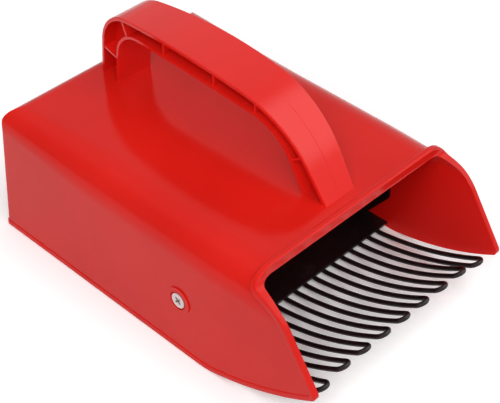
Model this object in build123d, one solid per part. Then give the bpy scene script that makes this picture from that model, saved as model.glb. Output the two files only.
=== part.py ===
from build123d import *
import math
import os

# Berry rake: a drafted plastic scoop with an arched handle on top and a comb of bent wires for a floor.
# Millimetres and degrees. Up is +Z and the mouth faces -Y.
# A "reach" runs forward from the rear of the rim and a "height" runs up from the ground.

# Housing
LENGTH = 208.9               # rear of the rim to the sharp corner of the cheek tips
WIDTH = 135.4                # over the rim at the ground
HOUSING_HEIGHT = 72.0        # ground to the flat top
WALL = 2.4
SIDE_DRAFT = 1.6
REAR_DRAFT = 3.0
TOP_EDGE_RADIUS = 17.0       # along both sides of the top
TOP_CORNER_RADIUS = 12.0     # what that shrinks to at the rear
TOP_EDGE_BLEND = 80.0        # over this length
REAR_EDGE_RADIUS = 2.3       # up both sides of the rear face
REAR_TOP_RADIUS = 8.0        # along the top of the rear face
NOSE_LENGTH = 64.0           # cheek tip back to where the lower edge meets the ground
NOSE_ANGLE = 11.0            # slope of the lower edge where it leaves the ground
NOSE_ROUNDING = 20.0         # where it leaves the ground
TOE_IN = 2.0                 # the cheeks lean in towards their tips, seen from above
TOE_IN_BLEND = 10.0          # length over which they turn
TIP_HEIGHT = 26.0
TIP_ROUNDING = 3.0
SHOULDER_SETBACK = 23.1      # cheek tip back to the shoulder at the top of the front edge
SHOULDER_DROP = 10.4         # top down to the shoulder
SHOULDER_ROUNDING = 25.0
LIP_SETBACK = 37.4           # cheek tip back to the front of the top
LIP_DROP = 5.7               # top down to the corner between lip and cheek
LIP_ROUNDING = 4.0

# Rim: a bead that stands proud along the open edges, with squarer corners at the lip than the walls have
RIM_PROUD = 0.5
RIM_WIDTH = 3.2
RIM_EDGE_RADIUS = 0.8
LIP_PROUD = 1.2              # above the flat top
LIP_SINK = 3.7               # flat top down to the lip's underside
LIP_CORNER_RADIUS = 13.0
MOUTH_CORNER_RADIUS = 9.0    # inside the lip
MOUTH_FLARE = 6.0            # length over which the inside turns that square

# Handle
HANDLE_RISE = 42.2           # housing top to the crown of the handle
HANDLE_REAR_REACH = 14.8     # rear of the rim to the rear foot
HANDLE_FRONT_SETBACK = 8.6   # front of the top back to the front foot
REAR_LEG_LEAN = 5.4
FRONT_LEG_LEAN = 33.0
FRONT_LEG_TAPER = 5.0        # how much less its inner side leans
REAR_LEG_DEPTH = 13.6        # at the foot
FRONT_LEG_DEPTH = 13.3       # at the foot
GRIP_DEPTH = 10.0
REAR_CORNER_DROP = 4.8       # crown down to the corner over the rear leg, before rounding
FRONT_CORNER_DROP = 7.6      # crown down to the corner over the front leg, before rounding
INNER_CORNER_DROP = 6.7      # each outer corner down to the inner one
REAR_BEND_RADIUS = 23.0
FRONT_BEND_RADIUS = 55.0
INNER_REAR_BEND_RADIUS = 16.5
INNER_FRONT_BEND_RADIUS = 28.0
HANDLE_END_WIDTH = 18.6      # at both feet
HANDLE_MIDDLE_WIDTH = 26.2
FLANGE_THICKNESS = 1.8       # outer and inner bands of the I-section
FLANGE_EDGE_RADIUS = 0.5     # along the edges of both bands
WEB_THICKNESS = 3.0
RIB_PLACES = (0.085, 0.215, 0.375, 0.565, 0.71, 0.88)  # along the handle, as shares of its length
RIB_THICKNESS = 1.2
RIB_RECESS = 0.4             # how far the ribs stay inside the flanges' edges

# Comb wires
LOOP_COUNT = 9
WIRE_DIAMETER = 2.4
COMB_SIDE_GAP = 7.45         # wall's inner face to the centre of the outermost leg
ROOT_LENGTH = 26.0           # straight stretch welded under the tray
ROOT_BEND_ANGLE = 9.0
ROOT_BEND_RADIUS = 15.0
LEG_END_SETBACK = 7.5        # cheek tip back to the start of the hairpin bend
LEG_END_DROP = 1.5           # cheek tip down to the start of the hairpin bend
OUTER_TIP_DROP = 2.5         # how much lower the outermost hairpins end
WELD_SINK = 0.2              # how deep the wires sink into the tray's underside
GROUND_CLEARANCE = 0.5       # under the wires

# Comb tray
SHEET = 1.2
TRAY_SETBACK = 3.5           # start of the nose back to the tray's front edge
TRAY_CLEARANCE = 0.5         # round the tray's floor, inside the walls
LEDGE_WIDTH = 3.5            # inside the walls, under the tray
LEDGE_SETBACK = 12.0         # tray's front edge back to the end of the ledge
EAR_WIDTH = 29.0
EAR_ROUNDING = 2.0
EAR_TOP_ROUNDING = 8.0
EAR_MARGIN = 11.0            # screw up to the top of the ear
NOTCH_OFFSET = 1.5           # screw forward to the foot of the ear's front edge
NOTCH_DROP = 10.6            # screw down to the ear's front corner

# Fixing screws and nuts
SCREW_SETBACK = 14.0         # tray's front edge back to the screws
SCREW_HEIGHT = 31.1
SCREW_DIAMETER = 4.0
HOLE_CLEARANCE = 0.25        # on radius, where the shank passes through
HEAD_DIAMETER = 7.8
HEAD_RIM = 0.3               # straight edge of the head above its cone
HEAD_DEPTH_BELOW_RING = 0.2
CROSS_LENGTH = 4.1
CROSS_WIDTH = 0.95
CROSS_DEPTH = 1.4
RING_DIAMETER = 14.0
RING_PROUD = 0.7
RECESS_DIAMETER = 9.4
RECESS_DEPTH = 1.0           # below the top of the head
NUT_ACROSS_FLATS = 7.0
NUT_HEIGHT = 3.2
SHANK_PROTRUSION = 1.5

# Values that follow from the sizes above
OVERRUN = 30.0               # how far cutting shapes run past what they cut
TOUCH = 0.01                 # faces closer than this count as touching
LEAST_RADIUS = 0.5           # of a rounding that its inset would use up
BLEND_STEPS = 5              # sections over which a radius changes
HANG = (Align.CENTER, Align.CENTER, Align.MAX)  # a shape that hangs down from where it is put
SIDE_SLOPE = math.tan(math.radians(SIDE_DRAFT))
TOE_SLOPE = math.tan(math.radians(TOE_IN))
REAR_SLOPE = math.tan(math.radians(REAR_DRAFT))
REAR_START = -2 * OVERRUN * REAR_SLOPE - RIM_PROUD
FRONT_END = LENGTH + OVERRUN
FLOOR_REACH = LENGTH - NOSE_LENGTH
TOE_START = FLOOR_REACH - TOE_IN_BLEND / 2
TOE_END = FLOOR_REACH + TOE_IN_BLEND / 2
LIP_REACH = LENGTH - LIP_SETBACK
HANDLE_FRONT_REACH = LIP_REACH - HANDLE_FRONT_SETBACK
CROWN_HEIGHT = HOUSING_HEIGHT + HANDLE_RISE
WIRE_RADIUS = WIRE_DIAMETER / 2
WIRE_HEIGHT = GROUND_CLEARANCE + WIRE_RADIUS
TRAY_UNDERSIDE = WIRE_HEIGHT + WIRE_RADIUS - WELD_SINK
TRAY_REACH = FLOOR_REACH - TRAY_SETBACK
SCREW_REACH = TRAY_REACH - SCREW_SETBACK
COMB_HALF_WIDTH = WIDTH / 2 - RIM_PROUD - WALL - COMB_SIDE_GAP
LEG_PITCH = 2 * COMB_HALF_WIDTH / (2 * LOOP_COUNT - 1)


def side(reach, height):
    """A point of the side view."""
    return (-reach, height)


def side_prism(outline, near=-WIDTH, far=WIDTH):
    """A side-view outline made solid from x = near to x = far."""
    return extrude(Plane.YZ.offset(near) * outline, amount=far - near)


def slab(low, high, rear=-OVERRUN, front=LENGTH + OVERRUN):
    """Everything between two heights and two reaches."""
    return side_prism(make_face(Polyline(
        side(rear, low), side(front, low), side(front, high), side(rear, high), close=True)))


def round_corner(outline, corner, radius):
    """The outline with its vertex nearest to a corner rounded."""
    vertex = outline.vertices().sort_by_distance(Vector(*corner))[0]
    return fillet(vertex, radius)


def tub(inset, stations):
    """The scoop as a solid block, its sides and rear moved in.

    Each station is a reach, how far the top lies down there and how far the edges beside it are rounded.
    """
    low = -OVERRUN
    high = HOUSING_HEIGHT - stations[0][1] + TOUCH  # so that no two top faces coincide

    def rear(height):
        return RIM_PROUD + inset + REAR_SLOPE * height

    def half(height):
        return WIDTH / 2 - RIM_PROUD - inset - SIDE_SLOPE * height

    def section(reach, sink, radius):
        top = HOUSING_HEIGHT - sink
        toe = TOE_SLOPE * max(0, reach - FLOOR_REACH)
        foot, crown = half(low) - toe, half(top) - toe
        outline = make_face(Polyline((-foot, low), (foot, low), (crown, top), (-crown, top), close=True))
        for hand in (1, -1):
            outline = round_corner(outline, (hand * crown, top), radius)
        return Plane.XZ.offset(reach) * outline

    block = loft([section(*station) for station in stations], ruled=True)
    front = FRONT_END - OVERRUN / 2
    profile = make_face(Polyline(
        side(rear(low), low), side(front, low), side(front, high), side(rear(high), high), close=True))
    block &= side_prism(round_corner(profile, side(rear(high), high), kept(REAR_TOP_RADIUS - inset)))
    radius = kept(REAR_EDGE_RADIUS - inset)
    for hand, outward in ((1, Align.MIN), (-1, Align.MAX)):
        corner = Rectangle(OVERRUN, OVERRUN, align=(outward, Align.MIN)) - Circle(radius)
        up = Vector(-hand * SIDE_SLOPE, -REAR_SLOPE, 1)
        foot = Pos(hand * (half(low) - radius), -rear(low) - radius, low)
        block -= extrude(foot * corner, amount=up.length * (high - low + OVERRUN), dir=up)
    return block


def kept(radius):
    """A rounding's radius after an inset, never quite used up."""
    return max(radius, LEAST_RADIUS)


def even_stations(inset):
    """Stations of the scoop with its top moved in as far as its sides."""
    stations = []
    for step in range(BLEND_STEPS):
        share = step / BLEND_STEPS
        reach = REAR_START + share * (TOP_EDGE_BLEND - REAR_START)
        grown = share * share * (3 - 2 * share) * (TOP_EDGE_RADIUS - TOP_CORNER_RADIUS)
        stations.append((reach, inset, kept(TOP_CORNER_RADIUS + grown - inset)))
    reaches = (TOP_EDGE_BLEND, TOE_START, TOE_END, FRONT_END)
    return stations + [(reach, inset, TOP_EDGE_RADIUS - inset) for reach in reaches]


def shell(inset):
    """The scoop as a solid block, with all its outer faces moved in."""
    return tub(inset, even_stations(inset))


def make_hollow():
    """The inside of the scoop, with squarer corners and a lower top at the lip."""
    behind_lip = (LIP_REACH - MOUTH_FLARE, WALL, TOP_EDGE_RADIUS - WALL)
    mouth = [(reach, LIP_SINK, MOUTH_CORNER_RADIUS) for reach in (LIP_REACH, FRONT_END)]
    return tub(WALL, even_stations(WALL)[:-1] + [behind_lip] + mouth)


def cheek_outline():
    """Side view of the open edges, run on past the rear and the top."""
    start = side(FLOOR_REACH, 0)
    tip = side(LENGTH, TIP_HEIGHT)
    shoulder = side(LENGTH - SHOULDER_SETBACK, HOUSING_HEIGHT - SHOULDER_DROP)
    lip = side(LIP_REACH, HOUSING_HEIGHT - LIP_DROP)
    high = HOUSING_HEIGHT + OVERRUN
    angle = math.radians(NOSE_ANGLE)
    nose = TangentArc(start, tip, tangent=(-math.cos(angle), math.sin(angle)))
    rest = Polyline(tip, shoulder, lip, side(LIP_REACH, high), side(-OVERRUN, high), side(-OVERRUN, 0), start)
    outline = make_face([nose, rest])
    outline = round_corner(outline, start, NOSE_ROUNDING)
    outline = round_corner(outline, tip, TIP_ROUNDING)
    outline = round_corner(outline, shoulder, SHOULDER_ROUNDING)
    return round_corner(outline, lip, LIP_ROUNDING)


def border(faces):
    """The edges round the outside of a set of faces."""
    edges = [edge for face in faces for edge in face.edges()]
    return [edge for edge in edges if sum(edge.is_same(other) for other in edges) == 1]


def wall_plane(hand, inset):
    """A plane on the right (+1) or left (-1) wall at the screw, facing out, moved in from the outer face."""
    out = Vector(hand, 0, SIDE_SLOPE).normalized()
    on_wall = Vector(hand * (WIDTH / 2 - RIM_PROUD - SIDE_SLOPE * SCREW_HEIGHT), -SCREW_REACH, SCREW_HEIGHT)
    return Plane(origin=on_wall - out * inset, x_dir=(0, 1, 0), z_dir=out)


def make_housing():
    """The scoop's shell with its rim, the ledge that carries the tray, and a ring round each screw."""
    outline = cheek_outline()
    behind_rim = side_prism(offset(outline, -RIM_WIDTH, kind=Kind.INTERSECTION))
    into_rim = side_prism(offset(outline, -RIM_WIDTH / 2, kind=Kind.INTERSECTION))
    reaches = (REAR_START, TOE_START, TOE_END, FRONT_END)
    proud = tub(-RIM_PROUD, [(reach, -LIP_PROUD, LIP_CORNER_RADIUS) for reach in reaches])
    rim = proud & (side_prism(outline) - behind_rim)
    skin = [face for face in rim.faces() if proud.shell().distance_to(face.center()) < TOUCH]
    rim = fillet(border(skin), RIM_EDGE_RADIUS)
    hollow = make_hollow()
    ledge = (hollow - shell(WALL + LEDGE_WIDTH)) & slab(0, TRAY_UNDERSIDE, front=TRAY_REACH - LEDGE_SETBACK)
    housing = (shell(0) & into_rim) + rim - hollow + ledge
    for hand in (1, -1):
        outer = wall_plane(hand, 0)
        housing += outer * extrude(Circle(RING_DIAMETER / 2), amount=RING_PROUD)
        housing -= outer * screw_clearance()
    return housing


def head_top():
    """Level of the head's top face over the wall's outer face."""
    return RING_PROUD - HEAD_DEPTH_BELOW_RING


def head_cone():
    """The 90 degree cone of a screw's head, from its straight edge down to the shank."""
    height = (HEAD_DIAMETER - SCREW_DIAMETER) / 2
    return Pos(0, 0, head_top() - HEAD_RIM) * Cone(SCREW_DIAMETER / 2, HEAD_DIAMETER / 2, height, align=HANG)


def screw_clearance():
    """What the wall leaves open for a screw: the recess round its head, the cone seat and the shank hole."""
    recess = Pos(0, 0, head_top() - RECESS_DEPTH) * extrude(Circle(RECESS_DIAMETER / 2), amount=OVERRUN)
    hole = Cylinder(SCREW_DIAMETER / 2 + HOLE_CLEARANCE, OVERRUN)
    return recess + head_cone() + hole


def make_screw(hand):
    """A countersunk screw with a cross recess, through the wall, the ear and the nut."""
    top = head_top()
    length = top + WALL + SHEET + NUT_HEIGHT + SHANK_PROTRUSION
    head = Pos(0, 0, top) * Cylinder(HEAD_DIAMETER / 2, HEAD_RIM, align=HANG)
    shank = Pos(0, 0, top) * Cylinder(SCREW_DIAMETER / 2, length, align=HANG)
    arm = Pos(0, 0, top) * Box(CROSS_LENGTH, CROSS_WIDTH, CROSS_DEPTH, align=HANG)
    cross = Rot(0, 0, 45) * (arm + Rot(0, 0, 90) * arm)
    return wall_plane(hand, 0) * (head + head_cone() + shank - cross)


def make_nut(hand):
    """A hexagon nut on the inner face of the ear."""
    hexagon = RegularPolygon(NUT_ACROSS_FLATS / 2, 6, major_radius=False) - Circle(SCREW_DIAMETER / 2)
    return wall_plane(hand, WALL + SHEET) * extrude(hexagon, amount=-NUT_HEIGHT)


def ear_outline():
    """Side view of an ear, from under the tray's floor up past the screw."""
    front = SCREW_REACH + EAR_WIDTH / 2
    rear = SCREW_REACH - EAR_WIDTH / 2
    foot = SCREW_REACH + NOTCH_OFFSET
    floor = TRAY_UNDERSIDE
    corner = side(front, SCREW_HEIGHT - NOTCH_DROP)
    top_front = side(front, SCREW_HEIGHT + EAR_MARGIN)
    top_rear = side(rear, SCREW_HEIGHT + EAR_MARGIN)
    outline = make_face(Polyline(
        side(rear, floor), side(foot, floor), side(foot, floor + SHEET),
        corner, top_front, top_rear, close=True))
    outline = round_corner(outline, corner, EAR_ROUNDING)
    outline = round_corner(outline, top_front, EAR_TOP_ROUNDING)
    return round_corner(outline, top_rear, EAR_TOP_ROUNDING)


def make_tray(wires):
    """The sheet floor with an ear folded up against each wall, grooved below for the wires."""
    floor = shell(WALL + TRAY_CLEARANCE) & slab(TRAY_UNDERSIDE, TRAY_UNDERSIDE + SHEET, front=TRAY_REACH)
    ears = (shell(WALL) - shell(WALL + SHEET)) & side_prism(ear_outline())
    tray = floor + ears
    for hand in (1, -1):
        tray -= wall_plane(hand, 0) * Cylinder(SCREW_DIAMETER / 2 + HOLE_CLEARANCE, OVERRUN)
    return tray - wires


def make_tine(centre_x, drop):
    """One hairpin of wire: a root under the tray, a bend, a long curve, and the same back from the tip."""
    def at(x, reach, height):
        return Vector(centre_x + x, -reach, height)

    def leg(x):
        angle = math.radians(ROOT_BEND_ANGLE)
        root = at(x, TRAY_REACH - ROOT_LENGTH, WIRE_HEIGHT)
        edge = at(x, TRAY_REACH, WIRE_HEIGHT)
        rise = ROOT_BEND_RADIUS * (1 - math.cos(angle))
        bent = at(x, TRAY_REACH + ROOT_BEND_RADIUS * math.sin(angle), WIRE_HEIGHT + rise)
        end = at(x, LENGTH - LEG_END_SETBACK, TIP_HEIGHT - LEG_END_DROP - drop)
        bend = TangentArc(edge, bent, tangent=(0, -1, 0))
        curve = TangentArc(bent, end, tangent=(0, -math.cos(angle), math.sin(angle)))
        return [Line(root, edge), bend, curve]

    half = LEG_PITCH / 2
    left, right = leg(-half), leg(half)
    left_end, right_end = left[-1] @ 1, right[-1] @ 1
    tip = (left_end + right_end) / 2 + (left[-1] % 1) * half
    hairpin = ThreePointArc(left_end, tip, right_end)
    path = Wire(left + [hairpin] + right)
    start = left[0] @ 0
    return sweep(Plane(origin=start, z_dir=(0, -1, 0)) * Circle(WIRE_RADIUS), path=path)


def arch_corners(inward, foot_height):
    """Side-view corners of a line along the handle, rear foot to front foot.

    It is the arch's outer side at inward = 0 and its inner side at 1, with the feet carried on to a height.
    """
    rear_foot = HANDLE_REAR_REACH + inward * REAR_LEG_DEPTH
    front_foot = HANDLE_FRONT_REACH - inward * FRONT_LEG_DEPTH
    rear_slope = math.tan(math.radians(REAR_LEG_LEAN))
    front_slope = math.tan(math.radians(FRONT_LEG_LEAN - inward * FRONT_LEG_TAPER))
    rear_height = CROWN_HEIGHT - REAR_CORNER_DROP - inward * INNER_CORNER_DROP
    front_height = CROWN_HEIGHT - FRONT_CORNER_DROP - inward * INNER_CORNER_DROP

    def on_rear_leg(height):
        return side(rear_foot + rear_slope * (height - HOUSING_HEIGHT), height)

    def on_front_leg(height):
        return side(front_foot - front_slope * (height - HOUSING_HEIGHT), height)

    rear_leg = [on_rear_leg(foot_height), on_rear_leg(rear_height)]
    front_leg = [on_front_leg(front_height), on_front_leg(foot_height)]
    return rear_leg + front_leg


def arch_curve(corners, crown_height):
    """One side of the arch: a leg, the crowned top and the other leg."""
    rear_foot, rear_corner, front_corner, front_foot = corners
    crown = ((rear_corner[0] + front_corner[0]) / 2, crown_height)
    top = ThreePointArc(rear_corner, crown, front_corner)
    return [Line(rear_foot, rear_corner), top, Line(front_corner, front_foot)]


def arch_outline():
    """Side view of the handle's arch, its feet carried on below the housing's top."""
    below = HOUSING_HEIGHT - OVERRUN / 2
    outer = arch_corners(0, below)
    inner = arch_corners(1, below)
    feet = [Line(outer[0], inner[0]), Line(outer[-1], inner[-1])]
    outline = make_face(arch_curve(outer, CROWN_HEIGHT) + arch_curve(inner, CROWN_HEIGHT - GRIP_DEPTH) + feet)
    outline = round_corner(outline, outer[1], REAR_BEND_RADIUS)
    outline = round_corner(outline, outer[2], FRONT_BEND_RADIUS)
    outline = round_corner(outline, inner[1], INNER_REAR_BEND_RADIUS)
    return round_corner(outline, inner[2], INNER_FRONT_BEND_RADIUS)


def barrel(shrink):
    """Plan of the handle, wider in the middle than at its feet, standing on the housing's top."""
    rear, front = -HANDLE_REAR_REACH, -HANDLE_FRONT_REACH
    end = HANDLE_END_WIDTH / 2 - shrink
    middle = HANDLE_MIDDLE_WIDTH / 2 - shrink
    right = ThreePointArc((end, rear), (middle, (rear + front) / 2), (end, front))
    left = ThreePointArc((-end, front), (-middle, (rear + front) / 2), (-end, rear))
    plan = make_face([right, Line((end, front), (-end, front)), left, Line((-end, rear), (end, rear))])
    return Pos(0, 0, HOUSING_HEIGHT) * extrude(plan, amount=HANDLE_RISE + OVERRUN)


def rib_outlines():
    """Side view of the cross ribs, each square to a line along the middle of the handle."""
    spine = FilletPolyline(*arch_corners(1 / 2, HOUSING_HEIGHT), radius=REAR_BEND_RADIUS)
    ribs = Sketch()
    for place in RIB_PLACES:
        spot = spine @ place
        along = spine % place
        turn = math.degrees(math.atan2(along.Y, along.X))
        ribs += Pos(spot.X, spot.Y) * Rot(0, 0, turn) * Rectangle(RIB_THICKNESS, 2 * GRIP_DEPTH)
    return ribs


def make_handle():
    """The arch as an I-section: two flanges, a middle web and thin ribs across the side channels."""
    outline = arch_outline()
    channels = offset(outline, -FLANGE_THICKNESS)
    web = WEB_THICKNESS / 2
    hollow = side_prism(channels) - side_prism(channels, -web, web)
    arch = (side_prism(outline) - hollow) & barrel(0)
    flanges = [face for face in arch.faces() if face.bounding_box().size.X > HANDLE_END_WIDTH - TOUCH]
    flanges = [face for face in flanges if face.center().Z > HOUSING_HEIGHT + TOUCH]
    sides = [edge for edge in border(flanges) if edge.center().Z > HOUSING_HEIGHT + TOUCH]
    arch = fillet(sides, FLANGE_EDGE_RADIUS)
    return arch + (side_prism(rib_outlines()) & hollow & barrel(RIB_RECESS))


def main():
    """Builds every piece, puts the origin under the middle of the whole and writes a file for each."""
    last = LOOP_COUNT - 1
    wires = [make_tine(2 * LEG_PITCH * (index - last / 2), OUTER_TIP_DROP if index in (0, last) else 0)
             for index in range(LOOP_COUNT)]
    pieces = {
        "housing_shell": make_housing(),
        "handle": make_handle(),
        "comb_tray": make_tray(wires),
        "left_screw": make_screw(-1),
        "right_screw": make_screw(1),
        "left_nut": make_nut(-1),
        "right_nut": make_nut(1),
    }
    for index, wire in enumerate(wires):
        pieces[f"tine_loop_{index + 1}"] = wire
    boxes = [piece.bounding_box() for piece in pieces.values()]
    front = min(box.min.Y for box in boxes)
    rear = max(box.max.Y for box in boxes)
    ground = min(box.min.Z for box in boxes)
    to_origin = Pos(0, -(front + rear) / 2, -ground)
    os.makedirs("parts", exist_ok=True)
    for name, piece in pieces.items():
        export_step(to_origin * piece, f"parts/{name}.step")


main()
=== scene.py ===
# %% [markdown]
# # Berry rake
# A berry rake is a red plastic scoop with an arched carrying handle and a comb of black wires for a floor.
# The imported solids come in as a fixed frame, in metres, with the ground at z = 0 and the mouth facing -Y.
# This script gives each of them its finish, adds the small marks that making leaves on the real thing,
# and sets up a plain white studio with the camera where the photographer stood.

# %% Load the frame
import math

import bpy
import numpy as np
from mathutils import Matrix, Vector
from mathutils.bvhtree import BVHTree


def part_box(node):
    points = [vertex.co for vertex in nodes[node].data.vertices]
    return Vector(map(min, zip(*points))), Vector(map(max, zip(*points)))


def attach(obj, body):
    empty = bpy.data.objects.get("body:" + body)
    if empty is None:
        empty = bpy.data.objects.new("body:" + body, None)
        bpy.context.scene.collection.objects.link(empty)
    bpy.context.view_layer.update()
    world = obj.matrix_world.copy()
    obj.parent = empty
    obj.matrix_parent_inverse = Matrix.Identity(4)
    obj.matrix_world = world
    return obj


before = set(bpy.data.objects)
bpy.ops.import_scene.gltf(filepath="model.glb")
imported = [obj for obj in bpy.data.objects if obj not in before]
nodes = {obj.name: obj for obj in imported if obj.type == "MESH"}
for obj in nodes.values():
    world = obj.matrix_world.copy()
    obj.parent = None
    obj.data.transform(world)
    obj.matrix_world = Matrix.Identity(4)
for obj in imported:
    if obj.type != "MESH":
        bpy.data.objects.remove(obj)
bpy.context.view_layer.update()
scene = bpy.context.scene
MM = 0.001

# %% [markdown]
# ## A workbench for node trees
# Finishes are node trees, and so are the shapes that follow a rule. Clicking them together by hand can't be
# repeated, and raw node calls are long to read. So one small class stands for a socket, and arithmetic on it adds
# Math nodes; a second one stands for the tree and adds any other node in one call.

# %% Sockets that can be added and multiplied


class Signal:
    """One output socket of a tree. Arithmetic on it adds Math nodes."""

    def __init__(self, bench, made, key=0):
        self.bench, self.made = bench, made
        self.socket = pick(made.outputs, key)

    def of(self, key):
        """Another output of the same node."""
        return Signal(self.bench, self.made, key)

    def math(self, operation, *values):
        return self.bench.node("ShaderNodeMath", {"operation": operation}, dict(enumerate(values)))

    def __add__(self, other):
        return self.math("ADD", self, other)

    def __sub__(self, other):
        return self.math("SUBTRACT", self, other)

    def __rsub__(self, other):
        return self.math("SUBTRACT", other, self)

    def __mul__(self, other):
        return self.math("MULTIPLY", self, other)

    __radd__, __rmul__ = __add__, __mul__


def pick(sockets, key):
    """The socket with this place, identifier or name."""
    if isinstance(key, int):
        return sockets[key]
    for socket in sockets:
        if socket.identifier == key:
            return socket
    return sockets[key]


# %% A tree that nodes are added to


class Bench:
    """A node tree that nodes are added to."""

    def __init__(self, tree):
        self.tree = tree

    def node(self, kind, settings=None, sockets=None):
        """Adds a node: its settings first, then a value or a link for each socket named."""
        made = self.tree.nodes.new(kind)
        for name, value in (settings or {}).items():
            setattr(made, name, value)
        for key, value in (sockets or {}).items():
            self.put(value, pick(made.inputs, key))
        return Signal(self, made) if made.outputs else made

    def put(self, value, socket):
        """Links a signal to a socket, or sets the socket to a plain value."""
        if isinstance(value, Signal):
            self.tree.links.new(value.socket, socket)
        else:
            socket.default_value = value


# %% [markdown]
# ## Finishes
# Every finish here is the same shader fed with a few soft patterns, so the patterns are written once. They read
# Object coordinates in metres: a spot of 4 mm is 4 mm on every piece, and nothing has to be unwrapped.

# %% Patterns that the finishes share


class Finish(Bench):
    """A material and the few patterns that every finish here is mixed from."""

    def __init__(self, name, **constants):
        self.material = bpy.data.materials.new(name)
        self.material.use_nodes = True
        super().__init__(self.material.node_tree)
        self.shader = self.tree.nodes["Principled BSDF"]
        self.place = self.node("ShaderNodeTexCoord").of("Object")
        for key, value in constants.items():
            self.shader.inputs[key.replace("_", " ")].default_value = value

    def noise(self, size, detail=2.0, stretch=(1, 1, 1)):
        """Soft noise whose spots are about this size in metres."""
        spot = self.node("ShaderNodeMapping", sockets={"Vector": self.place, "Scale": stretch})
        return self.node("ShaderNodeTexNoise", sockets={"Vector": spot, "Scale": 1 / size, "Detail": detail})

    def split(self, vector):
        """A vector whose parts X, Y and Z can be taken with of()."""
        return self.node("ShaderNodeSeparateXYZ", sockets={0: vector})

    def ramp(self, value, low, high):
        """0 at low, 1 at high and smooth between."""
        return self.node("ShaderNodeMapRange", {"interpolation_type": "SMOOTHSTEP"},
                         {"Value": value, "From Min": low, "From Max": high})

    def tint(self, share, first, second):
        """A colour between two others, of which the first may be a mix already."""
        first = first if isinstance(first, Signal) else (*first, 1.0)
        return self.node("ShaderNodeMix", {"data_type": "RGBA"}, {
            "Factor_Float": share, "A_Color": first, "B_Color": (*second, 1.0)}).of("Result_Color")

    def bump(self, height, depth):
        """A normal that follows a height of 0 to 1, this deep in metres."""
        return self.node("ShaderNodeBump", sockets={"Height": height, "Distance": depth})

    def feed(self, **sockets):
        for key, value in sockets.items():
            self.put(value, self.shader.inputs[key.replace("_", " ")])


def dress(finish, *names):
    """Gives CAD nodes a finish in place of the plain one they came with."""
    for name in names:
        for slot in nodes[name].material_slots:
            slot.material = finish.material
    print(finish.material.name, "on", len(names), "nodes,", len(finish.tree.nodes), "shader nodes")


# %% [markdown]
# ## Red plastic
# The scoop and its handle are moulded in glossy red plastic. A moulding is never one flat colour: the pigment
# drifts a little as the melt flows, the polish of the mould is uneven, and use leaves fine rubbed streaks, most of
# all on the rim that it is set down on. A picture texture could hold that, but would blur up close, so it is mixed
# from noise in real sizes instead. The specular level is low, because in the photograph the faces that mirror the
# white table stay a clear red.
#
# Two things are matched by eye, and the photograph doesn't tell their cause. Walls that face the middle of the scoop
# look duller and redder than the outside, so faces that look inwards get their own roughness, as the less polished
# core of a mould would have, and a brighter red that is painted light, standing in for the light that a thin wall
# lets through. The handle looks a shade brighter than the scoop, and the photograph doesn't tell why, so the recipe
# is used twice with a brighter red for the handle.

# %% Sizes and shades of the red plastic
DRIFT_SIZE, POLISH_SIZE, WAVE_SIZE = 55 * MM, 12 * MM, 4 * MM
STREAK_SIZE, STREAK_STRETCH = 1.6 * MM, (1.0, 0.06, 1.0)
SCUFF_SIZE, SCUFF_HEIGHT, SCUFFED_RIM = 0.9 * MM, 0.6, 3.5 * MM
WAVE_DEPTH = 0.03 * MM
INWARD = (-10 * MM, -40 * MM)    # place across times facing across, below 0 on walls that face the middle
POLISHED, UNEVEN, STREAKED, SCUFFED, UNPOLISHED = 0.11, 0.05, 0.10, 0.25, 0.28

SCOOP_RED, SCOOP_DEEP, SCOOP_GLOSS = (0.68, 0.0130, 0.0080), (0.63, 0.0105, 0.0065), 0.15
HANDLE_RED, HANDLE_DEEP, HANDLE_GLOSS = (0.75, 0.0130, 0.0085), (0.70, 0.0110, 0.0070), 0.28
# brighter red for faces that look inwards: painted light standing in for light let through the thin wall
INNER_PAINTED_LIGHT_RED = (0.79, 0.0090, 0.0055)
print("red of the scoop", SCOOP_RED, "of the handle", HANDLE_RED, "inward_dull_and_painted_light", INNER_PAINTED_LIGHT_RED)

# %% Red plastic


def red_plastic(name, gloss, red, deep):
    """Glossy moulded plastic that drifts between two reds, with a brighter red painted as light on faces that look
    inwards.
    """
    made = Finish(name, Specular_IOR_Level=gloss)
    drift = made.ramp(made.noise(DRIFT_SIZE, 3.0), 0.3, 0.7)
    polish = made.noise(POLISH_SIZE)
    streaks = made.ramp(made.noise(STREAK_SIZE, 3.0, STREAK_STRETCH), 0.62, 0.8)
    spot = made.split(made.place)
    scuffs = made.ramp(made.noise(SCUFF_SIZE, 3.0), 0.5, 0.7) * made.ramp(spot.of("Z"), SCUFFED_RIM, 0.0)
    facing = made.split(made.node("ShaderNodeNewGeometry").of("Normal"))
    # faces that look inwards: duller roughness, and a brighter red that is painted light
    inward_dull_and_painted_light = made.ramp(spot.of("X") * facing.of("X"), *INWARD)
    made.feed(
        Base_Color=made.tint(inward_dull_and_painted_light, made.tint(drift, red, deep), INNER_PAINTED_LIGHT_RED),
        Roughness=POLISHED + UNEVEN * polish + STREAKED * streaks + SCUFFED * scuffs + UNPOLISHED * inward_dull_and_painted_light,
        Normal=made.bump(made.noise(WAVE_SIZE, 1.0) + SCUFF_HEIGHT * scuffs, WAVE_DEPTH),
    )
    return made


scoop_red = red_plastic("scoop_red_plastic", SCOOP_GLOSS, SCOOP_RED, SCOOP_DEEP)
handle_red = red_plastic("handle_red_plastic", HANDLE_GLOSS, HANDLE_RED, HANDLE_DEEP)
dress(scoop_red, "housing_shell")
dress(handle_red, "handle")

# %% [markdown]
# ## Black enamel
# Tray and wires are steel, welded together and then coated black. A coat that is dipped or sprayed is smooth but not
# level: it has a fine orange peel, and where shoots have been combed it is rubbed a little duller and paler.

# %% Black enamel
BLACK = (0.0100, 0.0050, 0.0055)
BLACK_RUBBED = (0.0180, 0.0110, 0.0115)
RUB_SIZE, PEEL_SIZE, PEEL_DEPTH = 6 * MM, 1.1 * MM, 0.02 * MM

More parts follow.
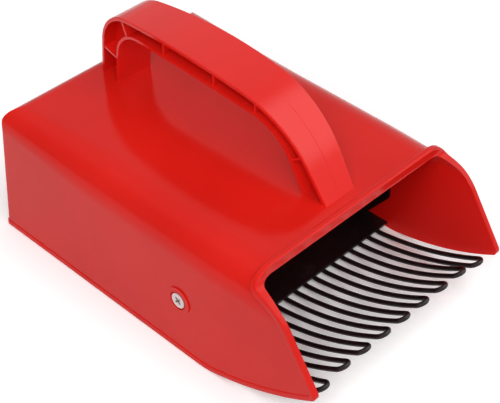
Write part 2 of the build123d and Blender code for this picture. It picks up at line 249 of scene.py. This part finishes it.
enamel = Finish("black_enamel", Specular_IOR_Level=0.30)
rubbed = enamel.ramp(enamel.noise(RUB_SIZE, 4.0), 0.5, 0.75)
enamel.feed(
    Base_Color=enamel.tint(rubbed, BLACK, BLACK_RUBBED),
    Roughness=0.30 + 0.14 * rubbed,
    Normal=enamel.bump(enamel.noise(PEEL_SIZE), PEEL_DEPTH),
)
wires = [f"tine_loop_{number}" for number in range(1, 10)]
dress(enamel, "comb_tray", *wires)

# %% [markdown]
# ## Zinc
# Screws and nuts are zinc plated: a light grey metal with a cloudy, slightly warm film over it and fine grain from
# the cold-formed steel below.

# %% Zinc
ZINC, ZINC_PALE = (0.52, 0.49, 0.48), (0.57, 0.53, 0.53)
CLOUD_SIZE, GRAIN_SIZE, GRAIN_DEPTH = 3 * MM, 0.4 * MM, 0.01 * MM

zinc = Finish("zinc_plate", Metallic=1.0)
cloud = zinc.noise(CLOUD_SIZE)
grain = zinc.noise(GRAIN_SIZE, 3.0)
zinc.feed(
    Base_Color=zinc.tint(cloud, ZINC, ZINC_PALE),
    Roughness=0.24 + 0.12 * cloud + 0.06 * grain,
    Normal=zinc.bump(grain, GRAIN_DEPTH),
)
dress(zinc, "left_screw", "right_screw", "left_nut", "right_nut")

# %% [markdown]
# ## Marks that making leaves
# Three small things come from how the rake is made and not from its drawing: the seam of the handle's mould, the
# welds under the tray and the thread on the screws. Each repeats or follows a path, so each is a geometry tree with
# named sizes. The tree's result is kept as a plain mesh that rides on the rake's only body.

# %% A tree that shapes


class Shaper(Bench):
    """A geometry tree with named sizes, whose result is kept as a plain mesh."""

    def __init__(self, name, **sizes):
        super().__init__(bpy.data.node_groups.new(name, "GeometryNodeTree"))
        panel = self.tree.interface
        panel.new_socket("Geometry", in_out="INPUT", socket_type="NodeSocketGeometry")
        self.sizes = {}
        for key, value in sizes.items():
            kind = {int: "NodeSocketInt", float: "NodeSocketFloat", tuple: "NodeSocketVector"}[type(value)]
            self.sizes[panel.new_socket(key, in_out="INPUT", socket_type=kind).identifier] = value
        panel.new_socket("Geometry", in_out="OUTPUT", socket_type="NodeSocketGeometry")
        self.given = self.node("NodeGroupInput")

    def make(self, name, shape, finish, slot, path=()):
        """Ends the tree, runs it on a row of points and keeps what it made."""
        smooth = self.node("GeometryNodeSetShadeSmooth", sockets={"Geometry": shape})
        whole = self.node("GeometryNodeRealizeInstances", sockets={"Geometry": smooth})
        coated = self.node("GeometryNodeSetMaterial", sockets={"Geometry": whole, "Material": finish.material})
        self.node("NodeGroupOutput", sockets={"Geometry": coated})
        start = bpy.data.meshes.new(name + "_path")
        start.from_pydata(path, [(index, index + 1) for index in range(len(path) - 1)], [])
        piece = bpy.data.objects.new(name, start)
        scene.collection.objects.link(piece)
        shaping = piece.modifiers.new("shape", "NODES")
        shaping.node_group = self.tree
        for identifier, value in self.sizes.items():
            shaping[identifier] = value
        mesh = bpy.data.meshes.new_from_object(piece.evaluated_get(bpy.context.evaluated_depsgraph_get()))
        piece.modifiers.clear()
        piece.data = mesh
        mesh.name = name
        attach(piece, "root")
        print(name, len(mesh.polygons), "faces")


# %% [markdown]
# ### Mould seam
# The two halves of the mould meet along the middle of the handle's outer band, and a fine ridge of plastic shows
# where. The hand rubs it away on the crown, so it runs up both legs and stops short of the top. Rays cast in towards
# the middle of the arch find the band, so the seam follows whatever the handle's curve is.

# %% Mould seam
SEAM_RADIUS = 0.10 * MM
SEAM_STOP = 7.0 * MM
SEAM_POINTS = 48
FRONT_FOOT, TOP, REAR_FOOT = 3, 90, 177


def solid_tree(name):
    """A CAD node as something that rays can hit."""
    solid = nodes[name]
    points = [solid.matrix_world @ vertex.co for vertex in solid.data.vertices]
    return BVHTree.FromPolygons(points, [face.vertices for face in solid.data.polygons])


def seam_path(first, last):
    """Points along the outer band between two angles over the middle of the arch."""
    low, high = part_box("handle")
    middle = Vector((0, (low[1] + high[1]) / 2, low[2]))
    band = solid_tree("handle")
    found = []
    for angle in np.radians(np.linspace(first, last, SEAM_POINTS)):
        out = Vector((0, -math.cos(angle), math.sin(angle)))
        hit = band.ray_cast(middle + out, -out)[0]
        if hit and hit.z < high[2] - SEAM_STOP:
            found.append(hit)
    return found


for name, foot in (("handle_seam_front", FRONT_FOOT), ("handle_seam_rear", REAR_FOOT)):
    seam = Shaper(name, Radius=SEAM_RADIUS)
    line = seam.node("GeometryNodeMeshToCurve", sockets={"Mesh": seam.given.of("Geometry")})
    ring = seam.node("GeometryNodeCurvePrimitiveCircle", sockets={
        "Resolution": 8, "Radius": seam.given.of("Radius")})
    ridge = seam.node("GeometryNodeCurveToMesh", sockets={
        "Curve": line, "Profile Curve": ring, "Fill Caps": True})
    seam.make(name, ridge, handle_red, "red_plastic", seam_path(foot, TOP))

# %% [markdown]
# ### Welds
# Each leg of a wire hairpin is welded to the tray's underside at two spots. A weld there is a low, uneven lump that
# wraps the wire and wets the sheet, coated over with everything else. One lump on a grid of points makes all of them.

# %% Welds
WELD_SIZE = (1.9 * MM, 1.8 * MM, 1.25 * MM)
WELD_PLACES = (6 * MM, 20 * MM)
RIPPLE_SCALE, RIPPLE_HEIGHT = 1.6, 0.3
WELD_TURN = 0.4

low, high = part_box("tine_loop_1")
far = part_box("tine_loop_9")[1]
comb_width, loop_width = far[0] - low[0], high[0] - low[0]
loop_pitch = (comb_width - loop_width) / (len(wires) - 1)
wire = loop_width - loop_pitch / 2
tray_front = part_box("comb_tray")[0][1]
weld = Shaper("welds", Across=comb_width - wire, Along=WELD_PLACES[1] - WELD_PLACES[0], Legs=2 * len(wires),
              Middle=(0.0, tray_front + sum(WELD_PLACES) / 2, low[2] + wire / 2), Size=WELD_SIZE)
grid = weld.node("GeometryNodeMeshGrid", sockets={
    "Size X": weld.given.of("Across"), "Size Y": weld.given.of("Along"), "Vertices X": weld.given.of("Legs"),
    "Vertices Y": len(WELD_PLACES)})
spots = weld.node("GeometryNodeTransform", sockets={"Geometry": grid, "Translation": weld.given.of("Middle")})
lump = weld.node("GeometryNodeMeshIcoSphere", sockets={"Radius": 1.0, "Subdivisions": 3})
ripple = weld.node("ShaderNodeTexNoise", sockets={"Scale": RIPPLE_SCALE}) - 0.5
outward = weld.node("GeometryNodeInputNormal")
push = weld.node("ShaderNodeVectorMath", {"operation": "SCALE"}, {0: outward, "Scale": RIPPLE_HEIGHT * ripple})
lump = weld.node("GeometryNodeSetPosition", sockets={"Geometry": lump, "Offset": push})
turn = weld.node("FunctionNodeRandomValue", {"data_type": "FLOAT_VECTOR"}, {
    "Min": (0.0, 0.0, -WELD_TURN), "Max": (0.0, 0.0, WELD_TURN), "Seed": 5})
lumps = weld.node("GeometryNodeInstanceOnPoints", sockets={
    "Points": spots, "Instance": lump, "Rotation": turn, "Scale": weld.given.of("Size")})
weld.make("tray_welds", lumps, enamel, "black_steel")

# %% [markdown]
# ### Screw threads
# The solids leave the thread off, as a drawing does. It shows only on the tip of each screw, past the nut, so that is
# where a ridge is wound round the shank. The screws sit square to the side walls, which lean in by their draft.

# %% Screw threads
THREAD_PITCH, THREAD_RADIUS, THREAD_LENGTH = 0.7 * MM, 0.21 * MM, 1.15 * MM
THREAD_START = 1.2 * THREAD_RADIUS
SHANK_RADIUS = 2.0 * MM
WALL_LEAN = math.radians(1.6)
SAME_LEVEL = 0.01 * MM

for name, hand in (("left_screw", -1), ("right_screw", 1)):
    axis = Vector((hand * math.cos(WALL_LEAN), 0, math.sin(WALL_LEAN)))
    points = [nodes[name].matrix_world @ vertex.co for vertex in nodes[name].data.vertices]
    tip_level = min(point.dot(axis) for point in points)
    tip = [point for point in points if point.dot(axis) < tip_level + SAME_LEVEL]
    start = sum(tip, Vector()) / len(tip) + axis * THREAD_START
    thread = Shaper(name + "_thread", Turns=THREAD_LENGTH / THREAD_PITCH, Radius=SHANK_RADIUS,
                    Length=THREAD_LENGTH, Ridge=THREAD_RADIUS, Start=tuple(start),
                    Turn=(0.0, hand * (math.pi / 2 - WALL_LEAN), 0.0))
    coil = thread.node("GeometryNodeCurveSpiral", sockets={
        "Resolution": 40, "Rotations": thread.given.of("Turns"), "Start Radius": thread.given.of("Radius"),
        "End Radius": thread.given.of("Radius"), "Height": thread.given.of("Length")})
    ring = thread.node("GeometryNodeCurvePrimitiveCircle", sockets={
        "Resolution": 6, "Radius": thread.given.of("Ridge")})
    ridge = thread.node("GeometryNodeCurveToMesh", sockets={
        "Curve": coil, "Profile Curve": ring, "Fill Caps": True})
    wound = thread.node("GeometryNodeTransform", sockets={
        "Geometry": ridge, "Translation": thread.given.of("Start"), "Rotation": thread.given.of("Turn")})
    thread.make(name + "_thread", wound, zinc, "zinc_steel")

# %% [markdown]
# ## Studio
# The photograph has a plain white ground and soft light from all round, strongest from above and from the camera's
# side. The floor is white paper. Seen by the camera or in a reflection it counts as a little more than white, which
# keeps the open ground clean and lets every shadow stay, and further out it fades into plain white, where the lamps
# no longer reach. From below the paper is clear, so that it hides nothing. The sky is plain grey light, but
# reflections see it brighter towards the right front and darker on the left rear, as the glossy faces in the
# photograph show it.

# %% Paper floor
FLOOR_HALF, FLOOR_LEVEL = 6.0, -0.1 * MM
PAPER, PAPER_SEEN = 0.60, 1.20
PAPER_FADE = (0.5, 1.2)

floor_mesh = bpy.data.meshes.new("studio_floor")
corners = [(x * FLOOR_HALF, y * FLOOR_HALF, FLOOR_LEVEL) for x, y in ((-1, -1), (1, -1), (1, 1), (-1, 1))]
floor_mesh.from_pydata(corners, [], [(0, 1, 2, 3)])
floor = bpy.data.objects.new("studio_floor", floor_mesh)
scene.collection.objects.link(floor)


def looks(bench):
    """Two signals: 1 where the camera sees the studio straight, and 1 where it does so in a reflection."""
    path = bench.node("ShaderNodeLightPath")
    mirrored = path.math("MAXIMUM", path.of("Is Glossy Ray"), path.of("Is Transmission Ray"))
    return path.of("Is Camera Ray"), mirrored


paper = Finish("white_paper", Roughness=0.9, Specular_IOR_Level=0.0)
paper.feed(Base_Color=(PAPER, PAPER, PAPER, 1.0))
straight, mirrored = looks(paper)
bright = paper.node("ShaderNodeBsdfDiffuse", sockets={"Color": (PAPER_SEEN, PAPER_SEEN, PAPER_SEEN, 1.0)})
distance = paper.node("ShaderNodeVectorMath", {"operation": "LENGTH"}, {0: paper.place}).of("Value")
open_ground = paper.node("ShaderNodeMixShader", sockets={
    0: paper.ramp(distance, *PAPER_FADE), 1: bright, 2: paper.node("ShaderNodeEmission")})
shown = paper.node("ShaderNodeMixShader", sockets={
    0: straight.math("MAXIMUM", straight, mirrored), 2: open_ground})
paper.tree.links.new(paper.shader.outputs["BSDF"], shown.made.inputs[1])
below = paper.node("ShaderNodeNewGeometry").of("Backfacing")
sheet = paper.node("ShaderNodeMixShader", sockets={
    0: below, 1: shown, 2: paper.node("ShaderNodeBsdfTransparent")})
paper.put(sheet, paper.tree.nodes["Material Output"].inputs["Surface"])
floor_mesh.materials.append(paper.material)
print("paper floor", 2 * FLOOR_HALF, "m wide")

# %% Sky
SKY_LIGHT = 0.35
SKY_BRIGHT_SIDE = (0.57, -0.45, 0.69)
SKY_DARK, SKY_BRIGHT, SKY_WINDOW = 0.35, 0.92, 2.2
BRIGHT_EDGE, WINDOW_EDGE = (-0.28, 0.18), (0.80, 0.97)

world = bpy.data.worlds.new("studio_world")
world.use_nodes = True
scene.world = world
sky = Bench(world.node_tree)
toward = sky.node("ShaderNodeVectorMath", {"operation": "DOT_PRODUCT"}, {
    0: sky.node("ShaderNodeTexCoord").of("Generated"), 1: SKY_BRIGHT_SIDE}).of("Value")


def rise(edge, size):
    """From 0 to a size, as the direction turns towards the bright side and crosses a soft edge."""
    return sky.node("ShaderNodeMapRange", {"interpolation_type": "SMOOTHSTEP"}, {
        "Value": toward, "From Min": edge[0], "From Max": edge[1], "To Max": size})


reflected = SKY_DARK + rise(BRIGHT_EDGE, SKY_BRIGHT - SKY_DARK) + rise(WINDOW_EDGE, SKY_WINDOW)
straight, mirrored = looks(sky)
plain = (1.0 - straight - mirrored) * SKY_LIGHT
sky.put(plain + straight + mirrored * reflected, world.node_tree.nodes["Background"].inputs["Strength"])
world.node_tree.nodes["Background"].inputs["Color"].default_value = (1.0, 1.0, 1.0, 1.0)
print("sky", SKY_LIGHT)

# %% Lamps
LAMP_SIZE = 1.6
LAMP_AIM = Vector((0, 0, 0.05))


def softbox(name, place, power):
    """A square area lamp that looks at the rake. Reflections show the sky in its place."""
    lamp = bpy.data.lights.new(name, "AREA")
    lamp.shape, lamp.size, lamp.energy = "SQUARE", LAMP_SIZE, power
    made = bpy.data.objects.new(name, lamp)
    made.location = place
    made.rotation_euler = (LAMP_AIM - Vector(place)).to_track_quat("-Z", "Y").to_euler()
    made.visible_glossy = False
    scene.collection.objects.link(made)
    print(name, power, "W")


softbox("camera_side_softbox", (-1.35, -1.05, 1.73), 39.0)
softbox("front_softbox", (0.3, -1.25, 2.2), 19.0)

# %% [markdown]
# ## Camera
# Its place and angles were solved from the photograph: the housing's straight edges, the comb and the mirror
# symmetry of the two cheeks leave one answer. The lens is a long one, so lines converge only a little.

# %% Camera
CAMERA_PLACE = (-0.36086, -0.35457, 0.46778)
CAMERA_AZIMUTH, CAMERA_ELEVATION = -45.776, 40.587
LENS, SENSOR = 100.0, 36.0

camera_data = bpy.data.cameras.new("photo_camera")
camera_data.lens, camera_data.sensor_width, camera_data.sensor_fit = LENS, SENSOR, "HORIZONTAL"
camera = bpy.data.objects.new("photo_camera", camera_data)
camera.location = CAMERA_PLACE
camera.rotation_euler = (math.radians(90 - CAMERA_ELEVATION), 0.0, math.radians(CAMERA_AZIMUTH))
scene.collection.objects.link(camera)
scene.camera = camera
scene.view_settings.view_transform = "Standard"
print("camera at", CAMERA_PLACE)
